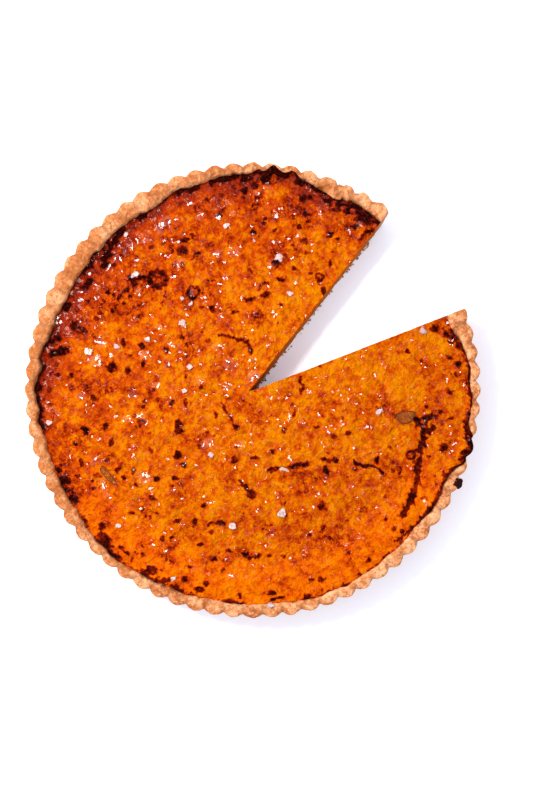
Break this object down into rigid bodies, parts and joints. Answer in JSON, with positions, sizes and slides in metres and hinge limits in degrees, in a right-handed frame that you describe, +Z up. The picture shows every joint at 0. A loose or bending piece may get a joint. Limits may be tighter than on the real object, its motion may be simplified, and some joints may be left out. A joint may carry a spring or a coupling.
{
  "type": "butternut squash pie",
  "caption": "Round baked squash tart in a fluted shortcrust shell, charred on top, with salt flakes and one slice cut out.",
  "frame": {"origin": "on the surface that the tart stands on, below the middle of the round crust", "axes": "+Z up; the missing slice lies in the +X +Y quarter, between 21 and 52 degrees from +X"},
  "size_m": [0.28, 0.28, 0.0266],
  "materials": {
    "pastry": "matt baked shortcrust",
    "custard": "glossy baked custard",
    "salt": "clear salt flakes"
  },
  "bodies": {
    "root": {"crust": "pastry", "filling": "custard"}
  },
  "joints": []
}
